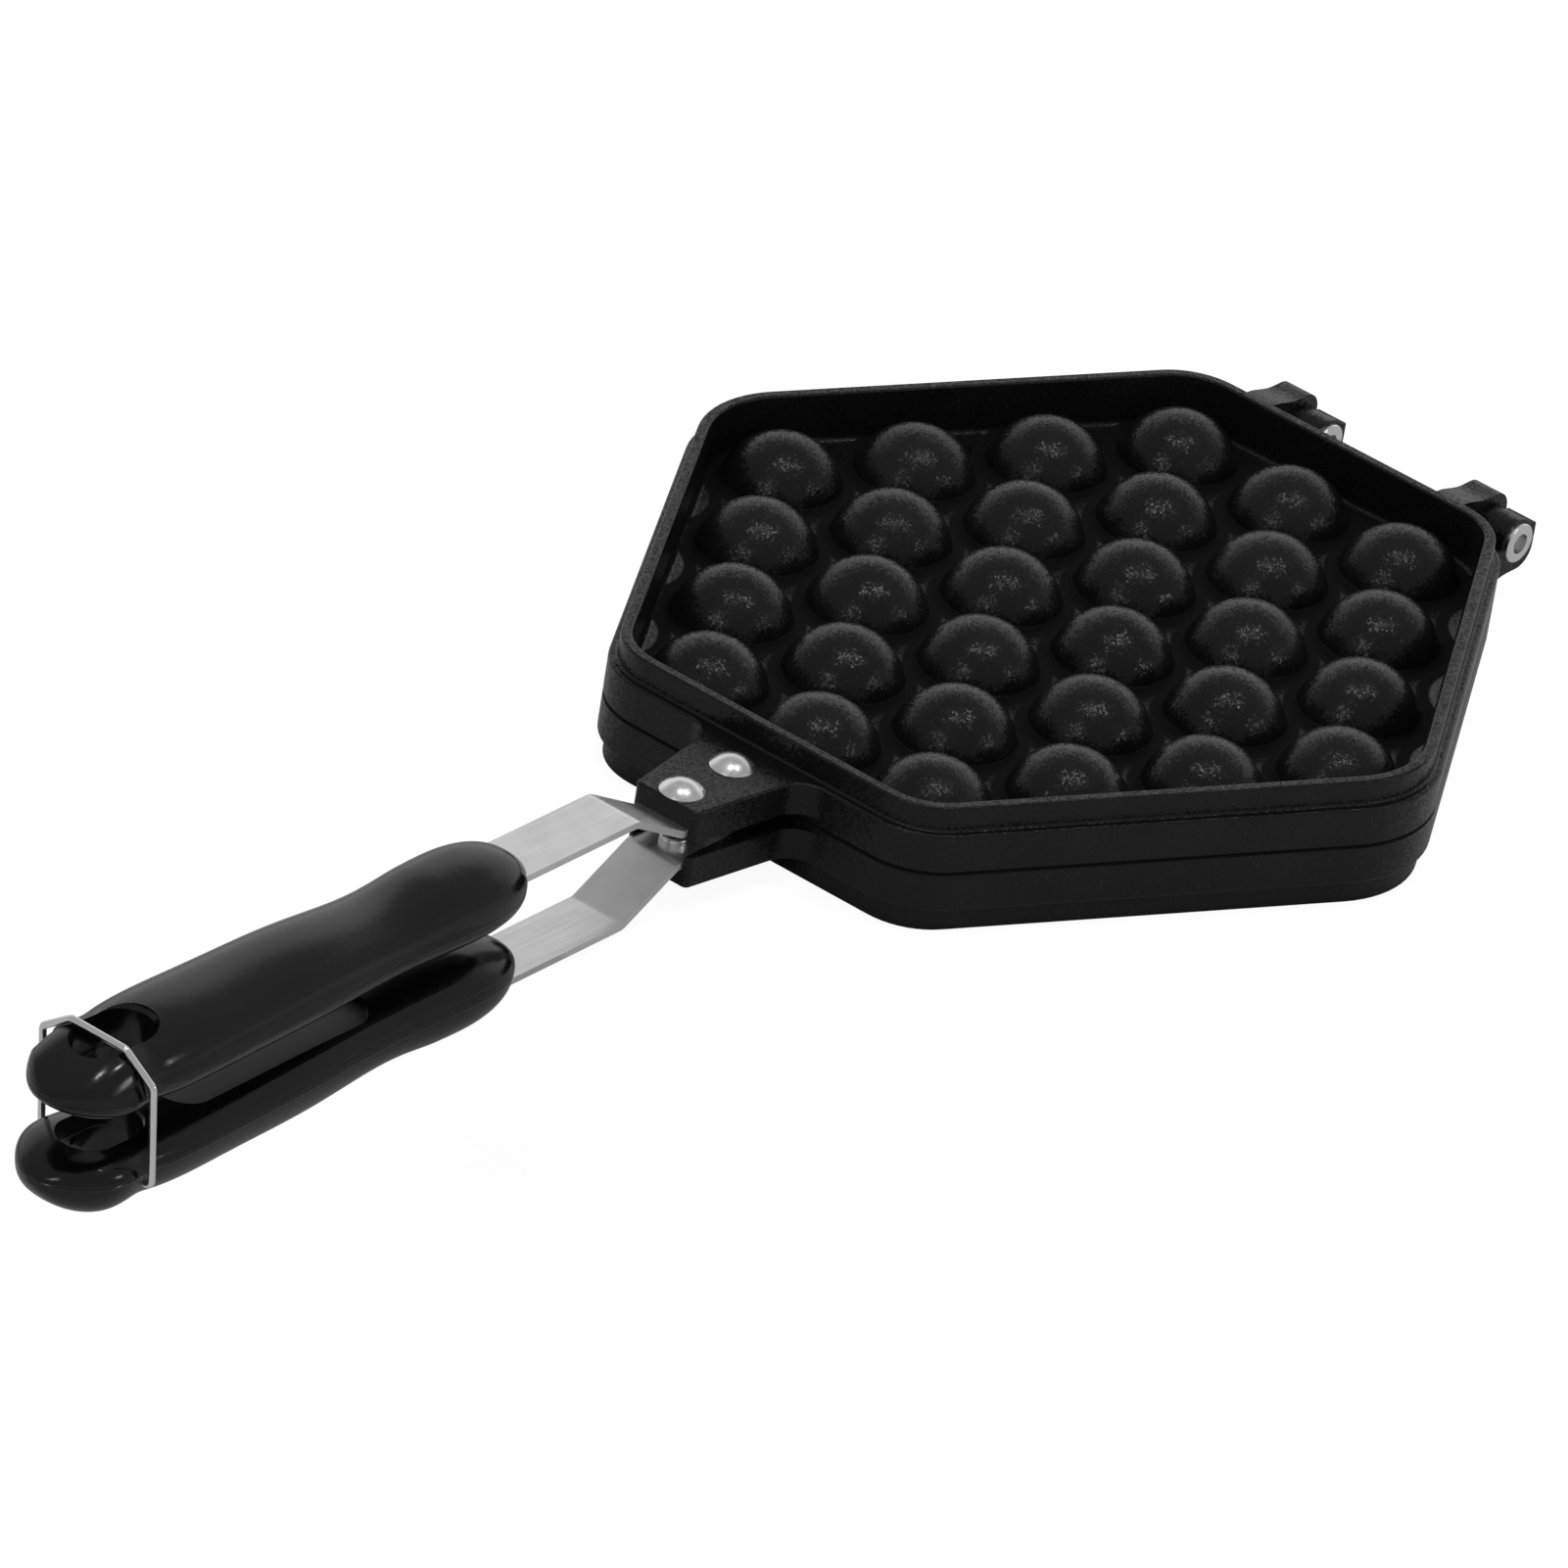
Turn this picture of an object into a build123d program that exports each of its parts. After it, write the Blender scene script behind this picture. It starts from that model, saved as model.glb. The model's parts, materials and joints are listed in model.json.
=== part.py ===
from build123d import *
import math
import os

os.makedirs("parts", exist_ok=True)

# Egg waffle pan: two identical hexagonal castings hinged on one side, each with a strap handle
# and a moulded grip, closed by a wire latch. Millimetres. X runs from the grips to the hinge,
# Z is up, and the parting plane between the halves is Z = 0 while the parts are being made.
# Places along the handles and hinges are distances out from the face of the castings' lower band.

# ---- cooking cells
CELL_PITCH = 29.0  # centre to centre
CELLS_PER_ROW = (3, 4, 5, 6, 5, 4, 3)
DOME_SPACING = 3.1  # between neighbouring domes' spheres
DOME_CENTRE_Z = 0.75  # sphere centre, from the parting plane
CASTING_WALL = 2.2
DOME_BLEND = 1.0  # fillet where a dome meets the floor
CELL_LIP = 0.7  # rounding of a cell's mouth
LAND_RECESS = 0.8  # land between the cells, below the sealing rim

# ---- hexagonal rim
WALL_MARGIN = 15.8  # outermost cell centres to the inside of the wall
WALL_DRAFT = 2.0  # degrees
RIM_FACE = 2.4  # width of the rim's flat face
BAND_PROUD = 1.75  # the lower band stands out this far beyond the rim
SIDE_CORNER = 12.6  # inner corner radius of the four corners at the ends
APEX_CORNER = 21.1  # inner corner radius of the two corners on the Y axis
HALF_THICKNESS = 14.0
LEDGE_Z = 8.65
SEAL_INSET = 1.0  # sealing rim's inner edge, inside the wall line
RIM_EDGE = 0.5
LEDGE_EDGE = 0.6
PARTING_EDGE = 0.5  # rounding where the halves meet
STEP_BLEND = 0.6
FLOOR_BLEND = 1.3

# ---- handle tab of a casting
TAB_LENGTH = 27.8
TAB_FRONT_HALF = 7.9
TAB_SPREAD = 0.155  # half width gained per mm towards the pan
TAB_NOSE = 1.4
TAB_ROOT_BLEND = 6.0
TAB_GAP = 1.7  # tab's parting side, above the parting plane
CHANNEL_START = 2.7

# ---- straps and their rivets
STRAP_WIDTH = 13.0
STRAP_THICKNESS = 1.5
STRAP_SEAT_Z = 4.4
STRAP_SIDE_PLAY = 0.15
STRAP_END_PLAY = 0.4
STRAP_LOW_BEND = 29.1
STRAP_HIGH_BEND = 44.4
STRAP_FLAT_Z = 11.6  # middle of the strap where it runs level
STRAP_TANG = 140.7  # end of the strap inside the grip
STRAP_BEND_RADIUS = 2.5
STRAP_CORNER = 2.0
RIVET_PLACES = (23.0, 7.6)
RIVET_SHANK = 2.3
RIVET_HEAD = 4.6
RIVET_HEAD_HEIGHT = 2.2
RIVET_TAIL = 3.0
RIVET_TAIL_HEIGHT = 1.6
RIVET_TAIL_EDGE = 0.7

# ---- hinges
HINGE_OFFSET = 16.3
HINGE_Y = 25.0
LUG_WIDTH = 6.9
LUG_GAP = 0.8
LUG_TOP = 7.0
LUG_REACH = 6.2
LUG_CORNER = 4.5
LUG_NIB = 2.9
LUG_NIB_CORNER = 0.8
LUG_ARM_GAP = 0.3
LUG_SHOULDER = 5.7  # the arm leaves the ledge's height here
LUG_EDGE = 0.4
BOSS_RADIUS = 5.0
PIN_RADIUS = 3.0
PIN_HEAD = 4.3
PIN_HEAD_HEIGHT = 1.1
PIN_HEAD_EDGE = 0.4
PIN_HOLLOW = 2.2
PIN_HOLLOW_DEPTH = 3.0
RUNNING_CLEARANCE = 0.05  # pin in the lug that turns, radial
END_CLEARANCE = 0.1

# ---- grips: place of each section, half width, top height, bottom height
GRIP_STATIONS = (
    (197.0, 12.1, 18.0, 3.9),
    (181.0, 12.3, 18.5, 3.8),
    (165.0, 12.0, 18.8, 3.6),
    (149.0, 11.5, 18.9, 3.3),
    (133.0, 10.7, 18.5, 3.0),
    (117.0, 9.9, 17.4, 2.9),
    (105.0, 10.1, 18.1, 2.7),
    (95.0, 10.4, 18.5, 2.6),
)
GRIP_SEAM_Z = 9.0  # height of the widest line, where the mould closes
GRIP_SQUARENESS = 2.4  # exponent of the section's superellipse
GRIP_KNOB_LENGTH = 12.7
GRIP_KNOB_FULLNESS = 1.7  # exponent of the knob's end dome
GRIP_NOSE_LENGTH = 20.8
GRIP_NOSE_FULLNESS = 2.4
GRIP_END_STEPS = (0.3, 0.55, 0.75, 0.9, 0.985)
SECTION_POINTS = 28
HANG_PLACE = 191.5
HANG_LENGTH = 19.0
HANG_WIDTH = 12.2
HANG_FLARE = 0.5
RECESS_PLACE = 146.0
RECESS_LENGTH = 57.0
RECESS_WIDTH = 13.0
RECESS_DEPTH = 1.0

# ---- latch wire
WIRE_RADIUS = 0.75
WIRE_BEND = 1.5
LATCH_PIVOT = 191.2
LATCH_PIVOT_Z = -10.6
LATCH_CHORD = 195.6
LATCH_CHORD_Z = 18.0
LATCH_CHORD_HALF = 6.85
LATCH_LEG_Y = 14.0
LATCH_SHOULDER = 23.4  # leg length up to the shoulder bend
LATCH_STUB_Y = 8.0  # inner end of the turned-in stub
LATCH_HOLE_CLEARANCE = 0.06
SWING_CLEARANCE = 0.2
SWING_SQUARENESS = 4.0  # exponent of the rounded shape that the knob is kept inside

DOME_RADIUS = (CELL_PITCH - DOME_SPACING) / 2
ROW_SPACING = CELL_PITCH * math.sqrt(3) / 2
ROW_COUNT = len(CELLS_PER_ROW)
FLAT_SPAN = ROW_SPACING * (ROW_COUNT - 1) / 2 + WALL_MARGIN
SLANT_SPAN = ROW_SPACING * (max(CELLS_PER_ROW) - 1) / 2 + WALL_MARGIN
FLOOR_Z = LAND_RECESS + CASTING_WALL
BAND_GROW = RIM_FACE + BAND_PROUD
BAND_X = FLAT_SPAN + BAND_GROW
TAB_FRONT_X = -BAND_X - TAB_LENGTH
CHANNEL_END_X = -BAND_X - CHANNEL_START
STRAP_LOW_BEND_X = -BAND_X - STRAP_LOW_BEND
STRAP_HIGH_BEND_X = -BAND_X - STRAP_HIGH_BEND
STRAP_TANG_X = -BAND_X - STRAP_TANG
RIVET_XS = [-BAND_X - place for place in RIVET_PLACES]
LATCH_PIVOT_X = -BAND_X - LATCH_PIVOT
LATCH_CHORD_X = -BAND_X - LATCH_CHORD
PIN_X = BAND_X + HINGE_OFFSET
LUG_SHOULDER_X = BAND_X + LUG_SHOULDER
WIRE_ROOM = WIRE_RADIUS + SWING_CLEARANCE
FLIP = Rot(180, 0, 0)
UPPER_LUG_YS = (LUG_GAP / 2 + LUG_WIDTH / 2 - HINGE_Y, LUG_GAP / 2 + LUG_WIDTH / 2 + HINGE_Y)


def level_face(solid, z):
    """The flat face of a solid that lies level at the given height."""
    faces = [face for face in solid.faces().filter_by(Plane.XY) if abs(face.center().Z - z) < 0.001]
    return max(faces, key=lambda face: face.area)


def hexagon(grow):
    """The wall's inner outline, grown outward by the given amount, with rounded corners."""
    flat = FLAT_SPAN + grow
    slant = SLANT_SPAN + grow
    side = (2 * slant - flat) / math.sqrt(3)
    apex = 2 * slant / math.sqrt(3)
    corners = [(flat, side), (0, apex), (-flat, side), (-flat, -side), (0, -apex), (flat, -side)]
    outline = make_face(Polyline(corners, close=True))
    outline = fillet([v for v in outline.vertices() if abs(v.X) < flat / 2], APEX_CORNER + grow)
    return fillet([v for v in outline.vertices() if abs(v.X) > flat / 2], SIDE_CORNER + grow)


def cell_centres():
    """Cell centres of one casting, row by row."""
    centres = []
    for row, count in enumerate(CELLS_PER_ROW):
        x = (row - (ROW_COUNT - 1) / 2) * ROW_SPACING
        for cell in range(count):
            centres.append((x, (cell - (count - 1) / 2) * CELL_PITCH))
    return centres


def band_with_tab():
    """Plan of the lower band and the handle tab, blended into each other."""
    root_x = -BAND_X + CASTING_WALL
    root_half = TAB_FRONT_HALF + TAB_SPREAD * (root_x - TAB_FRONT_X)
    corners = [
        (TAB_FRONT_X, TAB_FRONT_HALF),
        (TAB_FRONT_X, -TAB_FRONT_HALF),
        (root_x, -root_half),
        (root_x, root_half),
    ]
    tab = make_face(Polyline(corners, close=True))
    tab = fillet([v for v in tab.vertices() if v.X < root_x - 1], TAB_NOSE)
    plan = hexagon(BAND_GROW) + tab
    roots = [v for v in plan.vertices() if abs(v.X + BAND_X) < 0.01 and abs(v.Y) < root_half]
    return fillet(roots, TAB_ROOT_BLEND)


def lug_outline():
    """Side view of one hinge lug of the upper casting, in the XZ plane."""
    root_x = BAND_X - LEDGE_EDGE
    reach_x = PIN_X + LUG_REACH
    arm = Plane.XZ * make_face(
        [
            Line((root_x, LEDGE_Z), (LUG_SHOULDER_X, LEDGE_Z)),
            Spline((LUG_SHOULDER_X, LEDGE_Z), (PIN_X - 1, LUG_TOP), tangents=((1, 0), (1, 0))),
            Line((PIN_X - 1, LUG_TOP), (PIN_X - 1, LUG_ARM_GAP)),
            Line((PIN_X - 1, LUG_ARM_GAP), (root_x, LUG_ARM_GAP)),
            Line((root_x, LUG_ARM_GAP), (root_x, LEDGE_Z)),
        ]
    )
    head = make_face(
        Polyline(
            [(PIN_X - 1, LUG_TOP), (reach_x, LUG_TOP), (reach_x, -LUG_NIB), (PIN_X - 1, -LUG_NIB)],
            close=True,
        )
    )
    head = fillet(head.vertices().sort_by(Axis.X)[-2:].sort_by(Axis.Y)[-1:], LUG_CORNER)
    head = fillet(head.vertices().sort_by(Axis.Y)[:2].sort_by(Axis.X)[-1:], LUG_NIB_CORNER)
    boss = Pos(PIN_X, 0) * Circle(BOSS_RADIUS)
    return arm + Plane.XZ * (head + boss)


def pin_hole(radius):
    """A cylinder through both hinges' lugs, along the hinge axis."""
    return Pos(PIN_X, 0, 0) * Rot(90, 0, 0) * Cylinder(radius, 4 * HINGE_Y)


def casting():
    """One half of the pan, outer side up, without its hinge and rivet holes."""
    band = extrude(hexagon(BAND_GROW), LEDGE_Z)
    band = fillet(level_face(band, 0).edges(), PARTING_EDGE)
    rim = extrude(hexagon(RIM_FACE), HALF_THICKNESS)
    skirt = Pos(0, 0, TAB_GAP) * extrude(band_with_tab(), LEDGE_Z - TAB_GAP)
    body = band + rim + skirt
    ledge = level_face(body, LEDGE_Z)
    body = fillet(ledge.outer_wire().edges(), LEDGE_EDGE)
    body = fillet(level_face(body, LEDGE_Z).inner_wires()[0].edges(), STEP_BLEND)
    well = extrude(Pos(0, 0, HALF_THICKNESS) * hexagon(0), FLOOR_Z - HALF_THICKNESS, taper=WALL_DRAFT)
    body -= well
    body = fillet(level_face(body, HALF_THICKNESS).edges(), RIM_EDGE)
    body = fillet(level_face(body, FLOOR_Z).edges(), FLOOR_BLEND)
    sphere = Pos(0, 0, DOME_CENTRE_Z) * Sphere(DOME_RADIUS)
    cap = sphere - Pos(0, 0, LAND_RECESS) * Box(
        4 * DOME_RADIUS, 4 * DOME_RADIUS, 4 * DOME_RADIUS, align=(Align.CENTER, Align.CENTER, Align.MAX)
    )
    body += [Pos(x, y, 0) * cap for x, y in cell_centres()]
    floor = level_face(body, FLOOR_Z)
    body = fillet([edge for wire in floor.inner_wires() for edge in wire.edges()], DOME_BLEND)
    body -= extrude(hexagon(-SEAL_INSET), LAND_RECESS)
    cell = Pos(0, 0, DOME_CENTRE_Z) * Sphere(DOME_RADIUS - CASTING_WALL)
    body -= [Pos(x, y, 0) * cell for x, y in cell_centres()]
    land = level_face(body, LAND_RECESS)
    body = fillet([edge for wire in land.inner_wires() for edge in wire.edges()], CELL_LIP)
    channel_half = STRAP_WIDTH / 2 + STRAP_SIDE_PLAY
    channel = Box(
        CHANNEL_END_X - TAB_FRONT_X + 1,
        2 * channel_half,
        STRAP_SEAT_Z,
        align=(Align.MAX, Align.CENTER, Align.MIN),
    )
    body -= Pos(CHANNEL_END_X, 0, 0) * channel
    lug = Pos(0, LUG_WIDTH / 2, 0) * extrude(lug_outline(), LUG_WIDTH)
    body += [Pos(0, y, 0) * lug for y in UPPER_LUG_YS]
    for x in RIVET_XS:
        body -= Pos(x, 0, 0) * Cylinder(RIVET_SHANK, 4 * LEDGE_Z)
    return body


def strap():
    """Bent steel strip from the tab's channel into the grip."""
    half = STRAP_THICKNESS / 2
    low_z = STRAP_SEAT_Z - half
    run = STRAP_LOW_BEND_X - STRAP_HIGH_BEND_X
    slope = math.atan2(STRAP_FLAT_Z - low_z, run)
    lean = half * math.tan(slope / 2)
    start_x = CHANNEL_END_X - STRAP_END_PLAY
    corners = [
        (start_x, low_z + half),
        (STRAP_LOW_BEND_X + lean, low_z + half),
        (STRAP_HIGH_BEND_X + lean, STRAP_FLAT_Z + half),
        (STRAP_TANG_X, STRAP_FLAT_Z + half),
        (STRAP_TANG_X, STRAP_FLAT_Z - half),
        (STRAP_HIGH_BEND_X - lean, STRAP_FLAT_Z - half),
        (STRAP_LOW_BEND_X - lean, low_z - half),
        (start_x, low_z - half),
    ]
    side = make_face(Polyline(corners, close=True))
    tight = [v for v in side.vertices() if abs(v.X - STRAP_HIGH_BEND_X + lean) < 0.001]
    tight += [v for v in side.vertices() if abs(v.X - STRAP_LOW_BEND_X - lean) < 0.001]
    side = fillet(tight, STRAP_BEND_RADIUS)
    wide = [v for v in side.vertices() if abs(v.X - STRAP_HIGH_BEND_X - lean) < 0.001]
    wide += [v for v in side.vertices() if abs(v.X - STRAP_LOW_BEND_X + lean) < 0.001]
    side = fillet(wide, STRAP_BEND_RADIUS + STRAP_THICKNESS)
    strip = extrude(Plane.XZ * side, STRAP_WIDTH / 2, both=True)
    ends = strip.edges().filter_by(Axis.Z)
    strip = fillet(ends, STRAP_CORNER)
    for x in RIVET_XS:
        strip -= Pos(x, 0, 0) * Cylinder(RIVET_SHANK, 4 * LEDGE_Z)
    return strip


def rivet(x):
    """Rivet of the upper half: domed head on the tab, formed tail under the strap."""
    head_radius = (RIVET_HEAD**2 + RIVET_HEAD_HEIGHT**2) / (2 * RIVET_HEAD_HEIGHT)
    strap_z = STRAP_SEAT_Z - STRAP_THICKNESS
    ball = Pos(0, 0, LEDGE_Z + RIVET_HEAD_HEIGHT - head_radius) * Sphere(head_radius)
    block = Box(
        4 * head_radius, 4 * head_radius, 4 * head_radius, align=(Align.CENTER, Align.CENTER, Align.MAX)
    )
    head = ball - Pos(0, 0, LEDGE_Z) * block
    from_base = (Align.CENTER, Align.CENTER, Align.MIN)
    shank = Pos(0, 0, strap_z) * Cylinder(RIVET_SHANK, LEDGE_Z - strap_z, align=from_base)
    tail_z = strap_z - RIVET_TAIL_HEIGHT
    tail = Pos(0, 0, tail_z) * Cylinder(RIVET_TAIL, RIVET_TAIL_HEIGHT, align=from_base)
    tail = fillet(tail.edges().sort_by(Axis.Z)[:1], RIVET_TAIL_EDGE)
    return Pos(x, 0, 0) * (head + shank + tail)


def hinge_pin(y):
    """Tubular rivet through one hinge, tight in the lower lug and free in the upper one."""
    length = 2 * LUG_WIDTH + LUG_GAP + END_CLEARANCE
    shank = Cylinder(PIN_RADIUS, length)
    head = Cylinder(PIN_HEAD, PIN_HEAD_HEIGHT, align=(Align.CENTER, Align.CENTER, Align.MIN))
    head = fillet(head.edges().sort_by(Axis.Z)[-1:], PIN_HEAD_EDGE)
    head = Pos(0, 0, length / 2) * head
    hollow = Pos(0, 0, length / 2 + PIN_HEAD_HEIGHT) * Cylinder(PIN_HOLLOW, 2 * PIN_HOLLOW_DEPTH)
    pin = shank + head + Rot(180, 0, 0) * head - hollow - Rot(180, 0, 0) * hollow
    return Pos(PIN_X, y + END_CLEARANCE / 2, 0) * Rot(90, 0, 0) * pin


def superellipse(turn, half_width, height, squareness):
    """Point at a turn angle of a superellipse with the given half axes."""
    across = math.copysign(abs(math.cos(turn)) ** (2 / squareness), math.cos(turn))
    up = math.copysign(abs(math.sin(turn)) ** (2 / squareness), math.sin(turn))
    return half_width * across, height * up


def grip_section(place, half_width, top, bottom, scale):
    """Closed cross-section of the grip, a superellipse with its widest line at the seam."""
    points = []
    for index in range(SECTION_POINTS):
        turn = 2 * math.pi * index / SECTION_POINTS - math.pi / 4  # starts clear of every cut
        height = top - GRIP_SEAM_Z if math.sin(turn) > 0 else GRIP_SEAM_Z - bottom
        y, z = superellipse(turn, scale * half_width, scale * height, GRIP_SQUARENESS)
        points.append((-BAND_X - place, y, GRIP_SEAM_Z + z))
    return make_face(Spline(points, periodic=True))


def grip_end(station, length, fullness):
    """Sections of the grip's rounded end beyond a station; a negative length turns it round."""
    sections = []
    for step in GRIP_END_STEPS:
        scale = (1 - step**fullness) ** (1 / fullness)
        sections.append(grip_section(station[0] + step * length, *station[1:], scale))
    return sections


def grip_body():
    """The moulded grip of the upper half before its cut-outs."""
    knob = GRIP_STATIONS[0]
    nose = GRIP_STATIONS[-1]
    sections = grip_end(knob, GRIP_KNOB_LENGTH, GRIP_KNOB_FULLNESS)[::-1]
    sections += [grip_section(*station, 1) for station in GRIP_STATIONS]
    sections += grip_end(nose, -GRIP_NOSE_LENGTH, GRIP_NOSE_FULLNESS)
    return loft(sections)


def hang_hole():
    """Cutter for the slot near the grip's end, flared towards both faces."""
    top = GRIP_STATIONS[0][2]
    bottom = GRIP_STATIONS[0][3]
    slot = SlotOverall(HANG_LENGTH, HANG_WIDTH)
    mouth = SlotOverall(HANG_LENGTH + 2 * HANG_FLARE, HANG_WIDTH + 2 * HANG_FLARE)
    cutter = Pos(0, 0, bottom - HANG_FLARE) * extrude(slot, top - bottom + 2 * HANG_FLARE)
    cutter += loft([Pos(0, 0, top - 2 * HANG_FLARE) * slot, Pos(0, 0, top) * mouth])
    cutter += Pos(0, 0, top) * extrude(mouth, HANG_FLARE)
    cutter += loft([Pos(0, 0, bottom + HANG_FLARE) * slot, Pos(0, 0, bottom) * mouth])
    cutter += Pos(0, 0, bottom) * extrude(mouth, -HANG_FLARE)
    return Pos(-BAND_X - HANG_PLACE, 0, 0) * cutter


def latch_plane():
    """Plane of the closed wire: local X along Y, local Y from the pivot to the chord."""
    rise = Vector(LATCH_CHORD_X - LATCH_PIVOT_X, 0, LATCH_CHORD_Z - LATCH_PIVOT_Z)
    return Plane(
        origin=(LATCH_PIVOT_X, 0, LATCH_PIVOT_Z), x_dir=(0, 1, 0), z_dir=Vector(0, 1, 0).cross(rise)
    )


def latch_reach():
    """Distance from the pivot to the wire's chord."""
    return math.hypot(LATCH_CHORD_X - LATCH_PIVOT_X, LATCH_CHORD_Z - LATCH_PIVOT_Z)


def latch_rod(radius):
    """A round rod along the bent latch wire."""
    reach = latch_reach()
    corners = [
        (LATCH_STUB_Y, 0),
        (LATCH_LEG_Y, 0),
        (LATCH_LEG_Y, LATCH_SHOULDER),
        (LATCH_CHORD_HALF, reach),
        (-LATCH_CHORD_HALF, reach),
        (-LATCH_LEG_Y, LATCH_SHOULDER),
        (-LATCH_LEG_Y, 0),
        (-LATCH_STUB_Y, 0),
    ]
    path = latch_plane() * FilletPolyline(*corners, radius=WIRE_BEND)
    section = Plane(origin=path @ 0, z_dir=path % 0) * Circle(radius)
    return sweep(section, path=path)


def swing_space():
    """Rounded space inside the wire's swing, clear of the wire all the way round."""
    half_width = LATCH_LEG_Y - WIRE_ROOM
    radius = latch_reach() - WIRE_ROOM
    points = []
    for index in range(SECTION_POINTS + 1):
        turn = math.pi * index / SECTION_POINTS
        points.append(superellipse(turn, half_width, radius, SWING_SQUARENESS))
    inside = make_face([Spline(points), Line(points[-1], points[0])])
    pivot = Axis((LATCH_PIVOT_X, 0, LATCH_PIVOT_Z), (0, 1, 0))
    return revolve(latch_plane() * inside, pivot)


def grip(tang):
    """Grip of the upper half: tang pocket, hang hole, recess in the inner face."""
    body = grip_body() - tang - hang_hole()
    recess_z = min(station[3] for station in GRIP_STATIONS)
    deepest = max(station[3] for station in GRIP_STATIONS[2:6]) + RECESS_DEPTH
    recess = Pos(-BAND_X - RECESS_PLACE, 0, recess_z) * extrude(
        SlotOverall(RECESS_LENGTH, RECESS_WIDTH), deepest - recess_z
    )
    return body - recess


def upper_knob(body):
    """Groove for the closed wire, and the knob behind it kept inside the wire's swing."""
    size = 4 * LATCH_SHOULDER
    behind = latch_plane() * Box(size, size, size, align=(Align.CENTER, Align.CENTER, Align.MAX))
    scrap = (body & behind) - swing_space()
    return body - scrap - latch_rod(WIRE_ROOM)


half = casting()
upper_pan = half - pin_hole(PIN_RADIUS + RUNNING_CLEARANCE)
lower_pan = FLIP * half - pin_hole(PIN_RADIUS)
upper_strap = strap()
lower_strap = FLIP * upper_strap
upper_rivets = Compound([rivet(x) for x in RIVET_XS])
lower_rivets = FLIP * upper_rivets
hinge_pins = Compound([hinge_pin(-HINGE_Y), hinge_pin(HINGE_Y)])
plain_grip = grip(upper_strap)
upper_grip = upper_knob(plain_grip)
pivot_hole = Pos(LATCH_PIVOT_X, 0, LATCH_PIVOT_Z) * Rot(90, 0, 0) * (
    Cylinder(WIRE_RADIUS + LATCH_HOLE_CLEARANCE, 4 * LATCH_LEG_Y)
)
lower_grip = FLIP * plain_grip - pivot_hole
latch_wire = latch_rod(WIRE_RADIUS)

nodes = {
    "upper_pan": upper_pan,
    "lower_pan": lower_pan,
    "upper_strap": upper_strap,
    "lower_strap": lower_strap,
    "upper_rivets": upper_rivets,
    "lower_rivets": lower_rivets,
    "hinge_pins": hinge_pins,
    "upper_grip": upper_grip,
    "lower_grip": lower_grip,
    "latch_wire": latch_wire,
}
boxes = [shape.bounding_box() for shape in nodes.values()]
middle_x = (min(box.min.X for box in boxes) + max(box.max.X for box in boxes)) / 2
middle_y = (min(box.min.Y for box in boxes) + max(box.max.Y for box in boxes)) / 2
lowest_z = min(box.min.Z for box in boxes)
to_frame = Pos(-middle_x, -middle_y, -lowest_z)
for name, shape in nodes.items():
    export_step(to_frame * shape, f"parts/{name}.step")
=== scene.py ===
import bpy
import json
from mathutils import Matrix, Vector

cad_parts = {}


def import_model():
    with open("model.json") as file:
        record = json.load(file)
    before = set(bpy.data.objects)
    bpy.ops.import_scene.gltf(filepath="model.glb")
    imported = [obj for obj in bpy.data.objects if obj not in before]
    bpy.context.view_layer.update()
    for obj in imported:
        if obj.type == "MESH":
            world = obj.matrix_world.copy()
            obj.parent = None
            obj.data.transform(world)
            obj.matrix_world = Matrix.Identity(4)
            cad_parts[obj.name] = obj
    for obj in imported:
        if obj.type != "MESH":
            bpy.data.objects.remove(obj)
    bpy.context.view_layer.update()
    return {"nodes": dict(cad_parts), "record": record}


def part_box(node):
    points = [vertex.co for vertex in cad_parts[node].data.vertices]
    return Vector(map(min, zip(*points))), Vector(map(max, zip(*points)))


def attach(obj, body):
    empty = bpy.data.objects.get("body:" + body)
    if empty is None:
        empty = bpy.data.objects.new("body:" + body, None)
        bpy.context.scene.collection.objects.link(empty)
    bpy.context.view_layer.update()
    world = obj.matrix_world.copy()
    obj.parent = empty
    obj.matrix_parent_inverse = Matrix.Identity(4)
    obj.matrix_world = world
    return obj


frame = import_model()

import json
import math

import bpy
from mathutils import Matrix, Vector

MM = 0.001
HINGE_POINT = frame["record"]["behaviour"]["joints"][0]["pos_m"]
PIN_X = HINGE_POINT[0]
PARTING_Z = HINGE_POINT[2]  # the plane where the two castings meet

# Sizes that the solids have too. The pan's middle is the middle of its cells.
CELL_PITCH = 29 * MM
ROW_PITCH = CELL_PITCH * math.sqrt(3) / 2
CELL_ROWS = (3, 4, 5, 6, 5, 4, 3)
DOME_RADIUS = 12.95 * MM
DOME_CENTRE = 0.75 * MM  # above the parting plane
WEB_HEIGHT = 3.0 * MM  # the flat outside between the domes, above the parting plane
PAN_TO_PIN = 111.594 * MM
PAN_TO_BAND = 95.294 * MM  # from the pan's middle to the flat side that carries the handle
BAND_TO_RECESS = 146 * MM  # and from there to the middle of the grips' recesses
PAN_X = PIN_X - PAN_TO_PIN
RECESS_X = PAN_X - (PAN_TO_BAND + BAND_TO_RECESS)
RECESS_HALF_RUN = 22 * MM  # from the recess's middle to the centre of its round end

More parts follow.
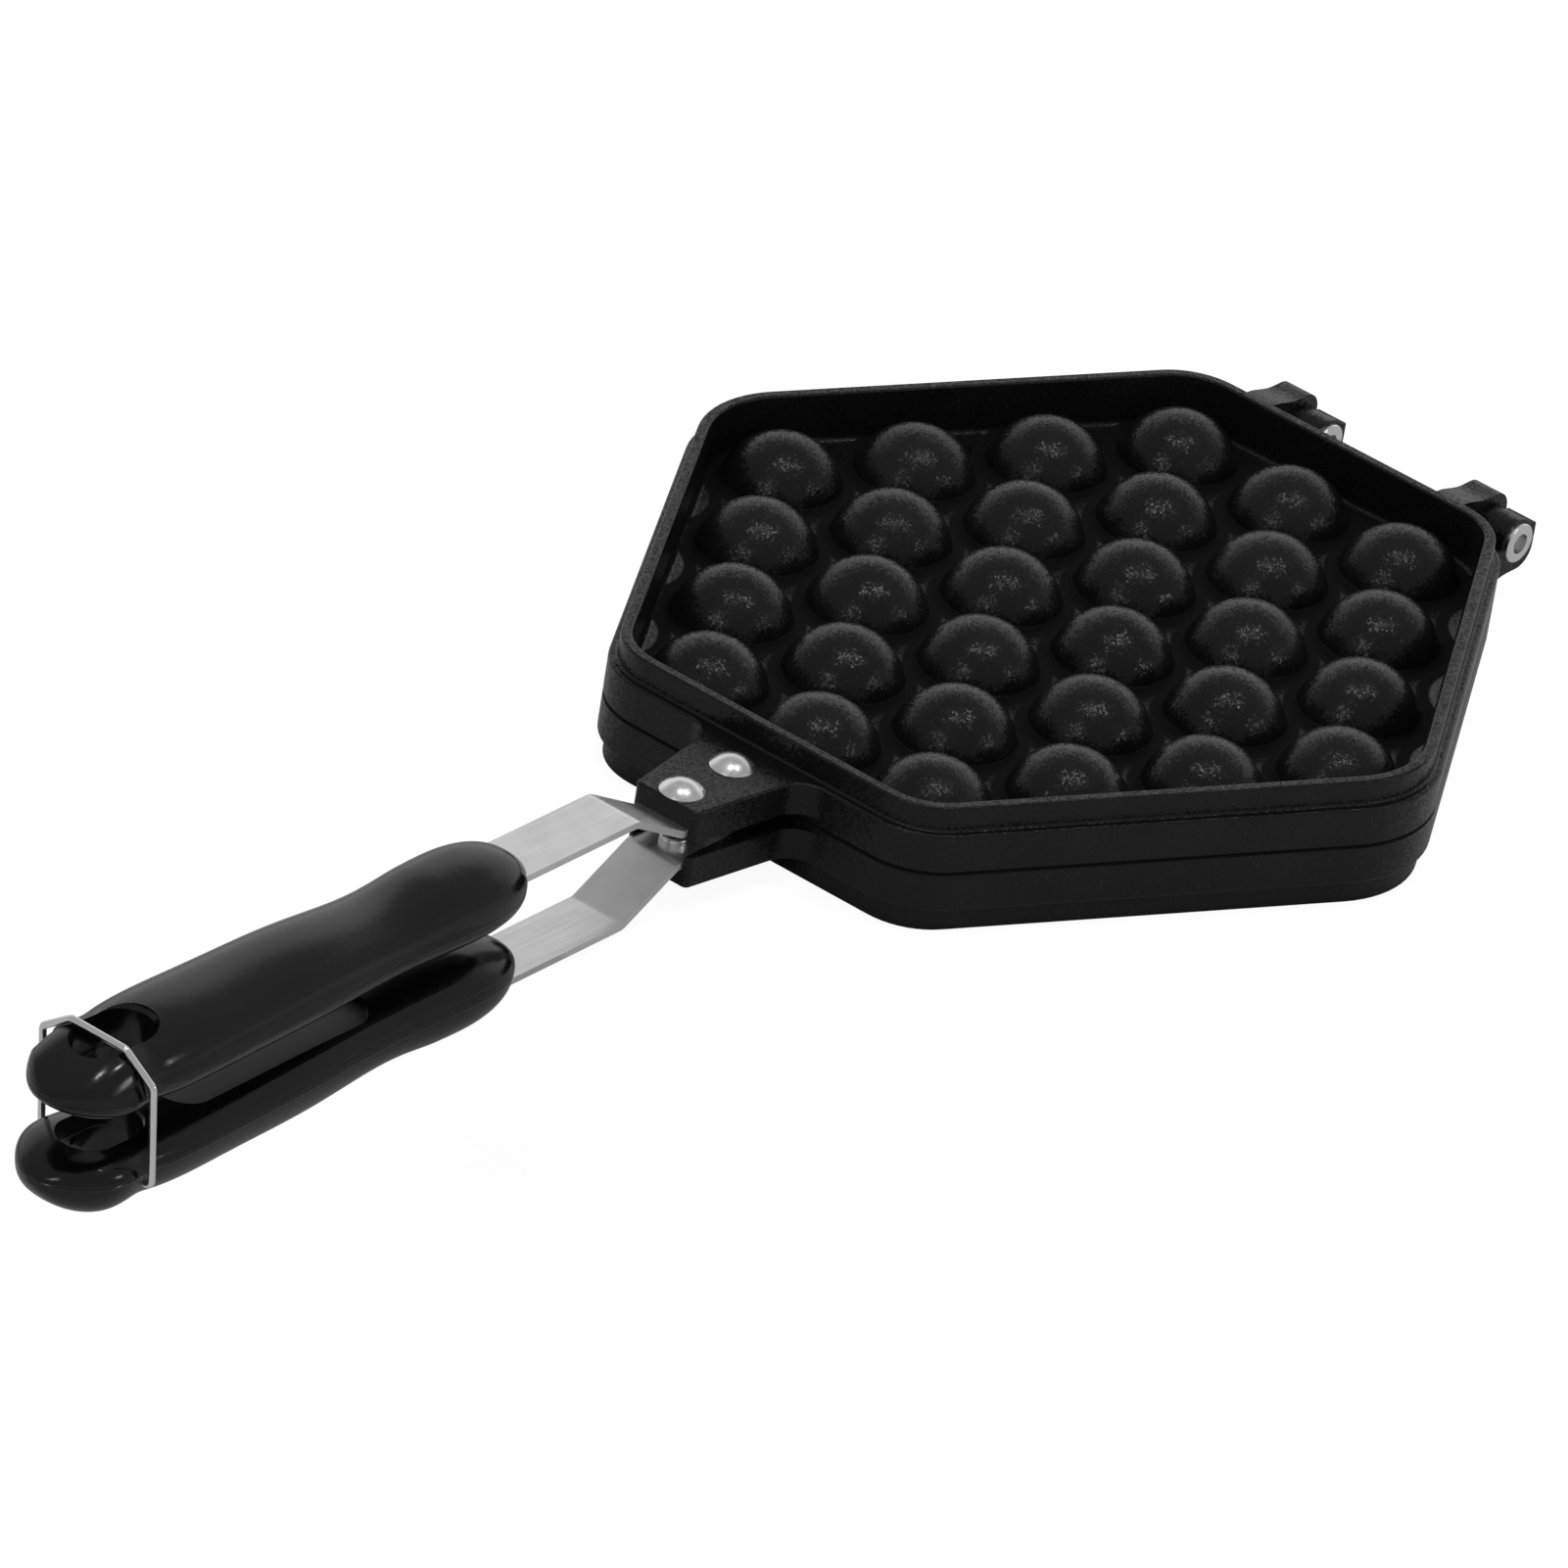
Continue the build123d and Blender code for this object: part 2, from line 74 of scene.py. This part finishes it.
# Where the materials' masks start and where they are full. Heights are from the parting plane.
MOULD_LINE_Z = 9 * MM
MOULD_LINE_REACH = (0.3 * MM, 0.1 * MM)
SEAM_HEIGHT = (0.6 * MM, 0.4 * MM)
SEAM_FACING = (0.95, 0.85)
RECESS_REACH = (6.4 * MM, 6.1 * MM)
RECESS_HEIGHT = (5.4 * MM, 5.2 * MM)
VALLEY_NEAR = (12.1 * MM, 12.8 * MM)  # from a dome's middle
VALLEY_FAR = (15.7 * MM, 14.9 * MM)
VALLEY_TOP = (5.2 * MM, 3.9 * MM)
VALLEY_FOOT = (2.2 * MM, 2.7 * MM)
VALLEY_FACING = (0.1, 0.3)
WELL_EDGE = (88.0 * MM, 87.2 * MM)  # from the pan's middle


# ---------------------------------------------------------------- node helpers
class Graph:
    """A material's node tree with short names for what every material here uses."""

    def __init__(self, name):
        self.material = bpy.data.materials.new(name)
        self.material.use_nodes = True
        self.nodes = self.material.node_tree.nodes
        self.links = self.material.node_tree.links
        self.shader = self.nodes["Principled BSDF"]
        self.coords = self.nodes.new("ShaderNodeTexCoord").outputs["Object"]

    def link(self, source, target):
        self.links.new(source, target)

    def mapped(self, scale):
        mapping = self.nodes.new("ShaderNodeMapping")
        mapping.inputs["Scale"].default_value = scale
        self.link(self.coords, mapping.inputs["Vector"])
        return mapping.outputs["Vector"]

    def noise(self, size_mm, detail=2.0, rough=0.5, vector=None):
        node = self.nodes.new("ShaderNodeTexNoise")
        node.inputs["Scale"].default_value = 1 / (size_mm * MM)
        node.inputs["Detail"].default_value = detail
        node.inputs["Roughness"].default_value = rough
        self.link(vector or self.coords, node.inputs["Vector"])
        return node.outputs["Fac"]

    def ramp(self, value, low, high, to_low=0.0, to_high=1.0):
        node = self.nodes.new("ShaderNodeMapRange")
        node.inputs["From Min"].default_value = low
        node.inputs["From Max"].default_value = high
        node.inputs["To Min"].default_value = to_low
        node.inputs["To Max"].default_value = to_high
        self.link(value, node.inputs["Value"])
        return node.outputs["Result"]

    def mix(self, factor, first, second):
        node = self.nodes.new("ShaderNodeMix")
        node.data_type = "RGBA"
        self.link(factor, node.inputs["Factor"])
        for socket, colour in ((node.inputs["A"], first), (node.inputs["B"], second)):
            if isinstance(colour, tuple):
                socket.default_value = (*colour, 1)
            else:
                self.link(colour, socket)
        return node.outputs["Result"]

    def maths(self, operation, first, second=0.0):
        node = self.nodes.new("ShaderNodeMath")
        node.operation = operation
        for socket, value in zip(node.inputs, (first, second)):
            if isinstance(value, (int, float)):
                socket.default_value = value
            else:
                self.link(value, socket)
        return node.outputs["Value"]

    def vector_maths(self, operation, *values):
        node = self.nodes.new("ShaderNodeVectorMath")
        node.operation = operation
        for socket, value in zip(node.inputs, values):
            if isinstance(value, tuple):
                socket.default_value = value
            else:
                self.link(value, socket)
        return node.outputs["Vector"]

    def split(self, vector):
        node = self.nodes.new("ShaderNodeSeparateXYZ")
        self.link(vector, node.inputs["Vector"])
        return node.outputs["X"], node.outputs["Y"], node.outputs["Z"]

    def off_grid(self, value, shift, spacing):
        """How far a coordinate is from the nearest of the places shift + k * spacing."""
        return self.maths("PINGPONG", self.maths("SUBTRACT", value, shift), spacing / 2)

    def product(self, *values):
        total = values[0]
        for value in values[1:]:
            total = self.maths("MULTIPLY", total, value)
        return total

    def length(self, first, second):
        squares = self.maths("MULTIPLY", first, first), self.maths("MULTIPLY", second, second)
        return self.maths("SQRT", self.maths("ADD", *squares))

    def from_parting(self, z):
        """A point's height from the plane where the castings meet, on either side of it."""
        return self.maths("ABSOLUTE", self.maths("SUBTRACT", z, PARTING_Z))

    def level_share(self):
        """One where the surface lies level, nought where it stands upright."""
        facing = self.coords.node.outputs["Normal"]
        return self.maths("ABSOLUTE", self.split(facing)[2])

    def painted_valley_shade_mask(self):
        """One in the narrow valleys between neighbouring domes, where the colour is darkened as painted
        shade and the roughness is raised.
        """
        x, y, z = self.split(self.coords)
        x = self.maths("SUBTRACT", x, PAN_X)
        odd = self.length(self.off_grid(x, ROW_PITCH, 2 * ROW_PITCH), self.off_grid(y, 0, CELL_PITCH))
        half_pitch = CELL_PITCH / 2
        even = self.length(self.off_grid(x, 0, 2 * ROW_PITCH), self.off_grid(y, half_pitch, CELL_PITCH))
        reach = self.maths("MINIMUM", odd, even)
        height = self.from_parting(z)
        valley = self.product(
            self.ramp(reach, *VALLEY_NEAR),
            self.ramp(reach, *VALLEY_FAR),
            self.ramp(height, *VALLEY_TOP),
            self.ramp(height, *VALLEY_FOOT),
            self.ramp(self.level_share(), *VALLEY_FACING),
        )
        return self.product(valley, self.ramp(self.hexagon_reach(x, y), *WELL_EDGE))

    def hexagon_reach(self, x, y):
        """How far out a point is, as the apothem of the pan's hexagon that it lies on."""
        half_x = self.maths("MULTIPLY", x, math.sin(math.radians(30)))
        rise_y = self.maths("MULTIPLY", y, math.cos(math.radians(30)))
        reach = self.maths("ABSOLUTE", x)
        for side in ("ADD", "SUBTRACT"):
            slant = self.maths("ABSOLUTE", self.maths(side, half_x, rise_y))
            reach = self.maths("MAXIMUM", reach, slant)
        return reach

    def painted_seam_shade_mask(self):
        """One in the groove where the two castings meet, where the colour is darkened as painted shade."""
        height = self.from_parting(self.split(self.coords)[2])
        groove = self.ramp(height, *SEAM_HEIGHT)
        return self.product(groove, self.ramp(self.level_share(), *SEAM_FACING))

    def mould_line(self):
        """One along the fine raised line where the grip's mould closed."""
        height = self.from_parting(self.split(self.coords)[2])
        off = self.maths("ABSOLUTE", self.maths("SUBTRACT", height, MOULD_LINE_Z))
        return self.ramp(off, *MOULD_LINE_REACH)

    def tilted_grains(self, normal, size_mm, tilt):
        """The normal leaned a little at random in each grain, as in a coarse sprayed film."""
        cells = self.nodes.new("ShaderNodeTexVoronoi")
        cells.inputs["Scale"].default_value = 1 / (size_mm * MM)
        self.link(self.coords, cells.inputs["Vector"])
        span = (tilt, tilt, tilt)
        start = (-tilt / 2, -tilt / 2, -tilt / 2)
        lean = self.vector_maths("MULTIPLY_ADD", cells.outputs["Color"], span, start)
        return self.vector_maths("NORMALIZE", self.vector_maths("ADD", normal, lean))

    def recess_mask(self):
        """One inside the long recess moulded in each grip's inner face, nought elsewhere."""
        x, y, z = self.split(self.coords)
        along = self.maths("ABSOLUTE", self.maths("SUBTRACT", x, RECESS_X))
        along = self.maths("MAXIMUM", self.maths("SUBTRACT", along, RECESS_HALF_RUN), 0)
        inside = self.ramp(self.length(along, y), *RECESS_REACH)
        return self.product(inside, self.ramp(self.from_parting(z), *RECESS_HEIGHT))

    def bump(self, height, depth_mm, strength=1.0, under=None):
        node = self.nodes.new("ShaderNodeBump")
        node.inputs["Strength"].default_value = strength
        node.inputs["Distance"].default_value = depth_mm * MM
        self.link(height, node.inputs["Height"])
        if under is not None:
            self.link(under, node.inputs["Normal"])
        return node.outputs["Normal"]

    def colour(self, value):
        self.link(value, self.shader.inputs["Base Color"])

    def roughness(self, value):
        self.link(value, self.shader.inputs["Roughness"])

    def normal(self, value):
        self.link(value, self.shader.inputs["Normal"])

    def plain(self, socket, value):
        """A value that is the same all over, on the shader's own socket."""
        self.shader.inputs[socket].default_value = value


# ---------------------------------------------------------------- materials
def coating():
    """Dark sprayed coating on the castings: tiny tilted grains break up every highlight, and painted shade
    darkens the valleys between the domes and the seam groove.
    """
    g = Graph("dark_coating")
    cloud = g.noise(16, detail=3)
    base = g.mix(g.ramp(cloud, 0.35, 0.7), (0.0065, 0.0065, 0.0068), (0.0095, 0.0095, 0.0098))
    speck = g.ramp(g.noise(0.5, detail=1), 0.69, 0.75)
    # Painted shade: the colour goes near black in the valleys between the domes and in the seam groove,
    # and the roughness is raised there too.
    painted_shade_and_dull = g.maths("MAXIMUM", g.painted_valley_shade_mask(), g.painted_seam_shade_mask())
    g.colour(g.mix(painted_shade_and_dull, g.mix(speck, base, (0.035, 0.035, 0.036)), (0.0015, 0.0015, 0.0016)))
    shine = g.ramp(cloud, 0.3, 0.7, 0.21, 0.27)
    g.roughness(g.maths("MAXIMUM", shine, g.maths("MULTIPLY", painted_shade_and_dull, 0.9)))
    peel = g.bump(g.noise(0.9, detail=2), 0.03)
    g.normal(g.tilted_grains(peel, size_mm=0.42, tilt=0.21))
    g.plain("Specular IOR Level", 0.25)
    return g.material


def strip_steel():
    """Rolled strip: long fine grain along the strap, with light handling marks."""
    g = Graph("rolled_strip")
    grain = g.noise(0.5, detail=3, vector=g.mapped((0.02, 1, 1)))
    marks = g.noise(6, detail=4)
    g.colour(g.mix(g.ramp(marks, 0.3, 0.75), (0.76, 0.76, 0.77), (0.86, 0.86, 0.86)))
    g.roughness(g.ramp(grain, 0.3, 0.7, 0.28, 0.42))
    g.normal(g.bump(grain, 0.01, strength=0.5))
    g.plain("Metallic", 1)
    return g.material


def bright_rivet():
    """Formed aluminium of the rivets and hinge pins."""
    g = Graph("formed_aluminium")
    marks = g.noise(1.4, detail=4)
    g.colour(g.mix(g.ramp(marks, 0.3, 0.75), (0.80, 0.80, 0.81), (0.90, 0.90, 0.90)))
    g.roughness(g.ramp(marks, 0.3, 0.7, 0.22, 0.34))
    g.normal(g.bump(marks, 0.02, strength=0.5))
    g.plain("Metallic", 1)
    return g.material


def moulded_black():
    """Polished black moulding with a faint flow pattern and fine scuffs."""
    g = Graph("polished_black_moulding")
    flow = g.noise(14, detail=3, vector=g.mapped((0.3, 1, 1)))
    scuff = g.noise(0.7, detail=4, vector=g.mapped((0.2, 1, 1)))
    polished = g.mix(g.ramp(flow, 0.35, 0.7), (0.0022, 0.0022, 0.0024), (0.004, 0.004, 0.0042))
    matt = g.recess_mask()
    g.colour(g.mix(matt, polished, (0.06, 0.06, 0.061)))
    shine = g.ramp(scuff, 0.35, 0.8, 0.13, 0.24)
    g.roughness(g.maths("MAXIMUM", shine, g.maths("MULTIPLY", matt, 0.5)))
    waves = g.bump(flow, 0.05, strength=0.25)
    g.normal(g.bump(g.mould_line(), 0.12, under=waves))
    g.plain("Specular IOR Level", 0.4)
    return g.material


def drawn_wire():
    """Bright drawn wire with fine lines along it."""
    g = Graph("bright_drawn_wire")
    lines = g.noise(0.12, detail=2)
    g.colour(g.mix(g.ramp(lines, 0.3, 0.7), (0.82, 0.82, 0.82), (0.92, 0.92, 0.92)))
    g.roughness(g.ramp(lines, 0.3, 0.7, 0.14, 0.24))
    g.normal(g.bump(lines, 0.004, strength=0.4))
    g.plain("Metallic", 1)
    return g.material


COATING = coating()
MATERIAL_NODES = (
    (COATING, ("upper_pan", "lower_pan")),
    (strip_steel(), ("upper_strap", "lower_strap")),
    (bright_rivet(), ("upper_rivets", "lower_rivets", "hinge_pins")),
    (moulded_black(), ("upper_grip", "lower_grip")),
    (drawn_wire(), ("latch_wire",)),
)
for material, names in MATERIAL_NODES:
    for name in names:
        for slot in frame["nodes"][name].material_slots:
            slot.material = material


# ---------------------------------------------------------------- dome roots
ROOT_RADIUS = 2.0 * MM
ROOT_STEPS = 10  # faces round the section
ROOT_TURNS = 96  # faces round the dome
ROOT_SUNK = 0.4 * MM  # how deep the ring's foot is under the web
ROOT_INSIDE = 0.5 * MM  # how far it reaches into the dome's wall


def cell_centres():
    """The 30 cells' places, from the pan's middle."""
    middle = (len(CELL_ROWS) - 1) / 2
    for row, count in enumerate(CELL_ROWS):
        for place in range(count):
            yield (row - middle) * ROW_PITCH, (place - (count - 1) / 2) * CELL_PITCH


def root_profile():
    """Closed section of the wide rounding between a dome and the web: (radius, height) pairs."""
    centre_z = WEB_HEIGHT + ROOT_RADIUS
    rise = centre_z - DOME_CENTRE
    centre_r = math.sqrt((DOME_RADIUS + ROOT_RADIUS) ** 2 - rise**2)
    start = math.atan2(-rise, -centre_r)  # where the rounding meets the dome
    end = -math.pi / 2  # and where it meets the web
    points = []
    for step in range(ROOT_STEPS + 1):
        angle = start + (end - start) * step / ROOT_STEPS
        points.append((centre_r + ROOT_RADIUS * math.cos(angle), centre_z + ROOT_RADIUS * math.sin(angle)))
    foot = WEB_HEIGHT - ROOT_SUNK
    return points + [(centre_r, foot), (points[0][0] - ROOT_INSIDE, foot)]


def dome_roots(name, body, side):
    """The roundings at the roots of one casting's domes, as closed rings in one piece."""
    profile = root_profile()
    count = len(profile)
    vertices = []
    faces = []
    for x, y in cell_centres():
        first = len(vertices)
        for turn in range(ROOT_TURNS):
            angle = 2 * math.pi * turn / ROOT_TURNS
            for radius, height in profile:
                vertices.append((
                    PAN_X + x + radius * math.cos(angle),
                    y + radius * math.sin(angle),
                    PARTING_Z + side * height,
                ))
        for turn in range(ROOT_TURNS):
            here = first + turn * count
            there = first + (turn + 1) % ROOT_TURNS * count
            for step in range(count):
                after = (step + 1) % count
                face = (here + step, here + after, there + after, there + step)
                faces.append(face if side > 0 else face[::-1])
    mesh = bpy.data.meshes.new(name)
    mesh.from_pydata(vertices, [], faces)
    mesh.polygons.foreach_set("use_smooth", [True] * len(faces))
    mesh.set_sharp_from_angle(angle=math.radians(40))
    mesh.materials.append(COATING)
    piece = bpy.data.objects.new(name, mesh)
    bpy.context.scene.collection.objects.link(piece)
    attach(piece, body)


dome_roots("upper_dome_roots", "upper_half", 1)
dome_roots("lower_dome_roots", "lower_half", -1)


# ---------------------------------------------------------------- stage
FLOOR_COLOUR = 0.75
FLOOR_SHADE = 0.2  # the part of the floor's white that the object's shadow takes away
FLOOR_GLOW = 0.93  # and the part that it leaves
FLOOR_HALF = 6.0  # metres, half its length and width
FLOOR_DROP = 45 * MM  # lower floor, below the object's lowest point
FLOOR_GAP = 0.02 * MM  # under the pan
STEP_REACH = 155.3 * MM  # from the pan's middle to the step's edge, short of the grip

ROOM_LIGHT = 0.35
BACKDROP_LIGHT = 0.8
BACKDROP_AZIMUTH = 35  # degrees, the side away from the camera
BACKDROP_EDGE = 0.5  # cosine of the angle from there to the backdrop's soft side edge
BACKDROP_SOFTNESS = 0.25
BACKDROP_TOP = 38  # degrees above the floor
BACKDROP_FADE = 9

# Each softbox: azimuth and height in degrees, distance and size in metres, power in watts.
OVERHEAD_SIZE = (0.1, 0.16)
SIDE_SIZE = (0.25, 0.3)
SOFTBOXES = {
    "overhead_left": (173, 80, 1.5, OVERHEAD_SIZE, 1.6),
    "overhead_right": (-69, 75, 1.5, OVERHEAD_SIZE, 1.6),
    "side_left": (-176, 36, 1.6, SIDE_SIZE, 1.5),
    "side_right": (-73, 22, 1.6, SIDE_SIZE, 1.5),
}

# The camera as fitted to the photograph's upper half. Lens and sensor are in millimetres.
CAMERA_LENS = 371.19
CAMERA_SENSOR = 36
CAMERA_PLACE = (-2.240148, -1.58984, 1.606967)
CAMERA_AIM = (0.045448, 0.025836, -0.009196)
CAMERA_ROLL = 9.2187  # degrees
CAMERA_REACH = 100  # metres


def grey(level):
    return (level, level, level, 1)


def floor_material():
    """Pale diffuse floor that the camera sees as white, less the object's shadow."""
    g = Graph("pale_floor")
    g.nodes.remove(g.coords.node)
    g.plain("Base Color", grey(FLOOR_COLOUR))
    g.plain("Roughness", 0.9)
    g.plain("Specular IOR Level", 0.0)
    glow = g.nodes.new("ShaderNodeEmission")
    glow.inputs["Color"].default_value = grey(FLOOR_GLOW)
    glow.inputs["Strength"].default_value = 1.0
    shade = g.nodes.new("ShaderNodeBsdfDiffuse")
    shade.inputs["Color"].default_value = grey(FLOOR_SHADE)
    both = g.nodes.new("ShaderNodeAddShader")
    g.link(glow.outputs["Emission"], both.inputs[0])
    g.link(shade.outputs["BSDF"], both.inputs[1])
    ray = g.nodes.new("ShaderNodeLightPath")
    seen = g.maths("MAXIMUM", ray.outputs["Is Camera Ray"], ray.outputs["Is Transmission Ray"])
    blend = g.nodes.new("ShaderNodeMixShader")
    g.link(seen, blend.inputs["Fac"])
    g.link(g.shader.outputs["BSDF"], blend.inputs[1])
    g.link(both.outputs["Shader"], blend.inputs[2])
    g.link(blend.outputs["Shader"], g.nodes["Material Output"].inputs["Surface"])
    return g.material


def floor():
    """A low step that the pan stands on, as on a hob's top, and the floor below it.

    The handles and the loose latch wire overhang the step. It reaches as far beyond the hinge
    as before it, so the upper half comes down on it when the pan is opened flat.
    """
    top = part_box("lower_pan")[0][2] - FLOOR_GAP
    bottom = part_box("lower_grip")[0][2] - FLOOR_DROP
    near = PAN_X - STEP_REACH
    far = 2 * PIN_X - near
    places = (-FLOOR_HALF, near, near, far, far, FLOOR_HALF)
    outline = tuple(zip(places, (bottom, bottom, top, top, bottom, bottom)))
    corners = [(x, side * FLOOR_HALF, z) for x, z in outline for side in (-1, 1)]
    faces = [(2 * k, 2 * k + 2, 2 * k + 3, 2 * k + 1) for k in range(len(outline) - 1)]
    mesh = bpy.data.meshes.new("floor")
    mesh.from_pydata(corners, [], faces)
    mesh.materials.append(floor_material())
    plane = bpy.data.objects.new("floor", mesh)
    bpy.context.scene.collection.objects.link(plane)


def world():
    """A dim room with a pale backdrop behind the object, seen as plain white by the camera."""
    scene_world = bpy.data.worlds.new("studio")
    bpy.context.scene.world = scene_world
    scene_world.use_nodes = True
    nodes = scene_world.node_tree.nodes
    links = scene_world.node_tree.links

    def fade(value, start, end):
        level = nodes.new("ShaderNodeMapRange")
        level.interpolation_type = "SMOOTHSTEP"
        level.inputs["From Min"].default_value = start
        level.inputs["From Max"].default_value = end
        links.new(value, level.inputs["Value"])
        return level

    direction = nodes.new("ShaderNodeTexCoord").outputs["Generated"]
    split = nodes.new("ShaderNodeSeparateXYZ")
    links.new(direction, split.inputs["Vector"])
    towards = nodes.new("ShaderNodeVectorMath")
    towards.operation = "DOT_PRODUCT"
    turn = math.radians(BACKDROP_AZIMUTH)
    towards.inputs[1].default_value = (math.cos(turn), math.sin(turn), 0)
    links.new(direction, towards.inputs[0])
    low = math.sin(math.radians(BACKDROP_TOP - BACKDROP_FADE))
    high = math.sin(math.radians(BACKDROP_TOP + BACKDROP_FADE))
    below = fade(split.outputs["Z"], high, low)
    side = BACKDROP_EDGE - BACKDROP_SOFTNESS, BACKDROP_EDGE + BACKDROP_SOFTNESS
    behind = fade(towards.outputs["Value"], *side)
    share = nodes.new("ShaderNodeMath")
    share.operation = "MULTIPLY"
    links.new(below.outputs["Result"], share.inputs[0])
    links.new(behind.outputs["Result"], share.inputs[1])
    level = fade(share.outputs["Value"], 0, 1)
    level.inputs["To Min"].default_value = ROOM_LIGHT
    level.inputs["To Max"].default_value = BACKDROP_LIGHT
    light = nodes["Background"]
    light.inputs["Color"].default_value = grey(1)
    links.new(level.outputs["Result"], light.inputs["Strength"])
    seen = nodes.new("ShaderNodeBackground")
    seen.inputs["Color"].default_value = grey(1)
    seen.inputs["Strength"].default_value = 1.0
    ray = nodes.new("ShaderNodeLightPath")
    either = nodes.new("ShaderNodeMath")
    either.operation = "MAXIMUM"
    links.new(ray.outputs["Is Camera Ray"], either.inputs[0])
    links.new(ray.outputs["Is Transmission Ray"], either.inputs[1])
    blend = nodes.new("ShaderNodeMixShader")
    links.new(either.outputs["Value"], blend.inputs["Fac"])
    links.new(light.outputs["Background"], blend.inputs[1])
    links.new(seen.outputs["Background"], blend.inputs[2])
    links.new(blend.outputs["Shader"], nodes["World Output"].inputs["Surface"])


def softbox(name, azimuth, height, distance, size, power):
    """A rectangular softbox in a direction from the pan, in degrees, turned towards it."""
    azimuth = math.radians(azimuth)
    height = math.radians(height)
    aim = Vector((PAN_X, 0, PARTING_Z))
    level = math.cos(height)
    way = Vector((math.cos(azimuth) * level, math.sin(azimuth) * level, math.sin(height)))
    place = aim + distance * way
    data = bpy.data.lights.new(name, "AREA")
    data.shape = "RECTANGLE"
    data.size, data.size_y = size
    data.energy = power
    lamp = bpy.data.objects.new(name, data)
    lamp.location = place
    lamp.rotation_euler = (-way).to_track_quat("-Z", "Y").to_euler()
    bpy.context.scene.collection.objects.link(lamp)


def camera():
    """The photograph's view: a long lens from the grip side, turned a little about its axis."""
    data = bpy.data.cameras.new("camera")
    data.lens = CAMERA_LENS
    data.sensor_width = CAMERA_SENSOR
    data.clip_end = CAMERA_REACH
    view = bpy.data.objects.new("camera", data)
    place = Vector(CAMERA_PLACE)
    aim = Vector(CAMERA_AIM)
    turn = (aim - place).to_track_quat("-Z", "Y").to_matrix().to_4x4()
    roll = Matrix.Rotation(math.radians(CAMERA_ROLL), 4, "Z")
    view.matrix_world = Matrix.Translation(place) @ turn @ roll
    bpy.context.scene.collection.objects.link(view)
    bpy.context.scene.camera = view


floor()
world()
camera()
for name, placing in SOFTBOXES.items():
    softbox(name, *placing)
bpy.context.scene.view_settings.view_transform = "Standard"
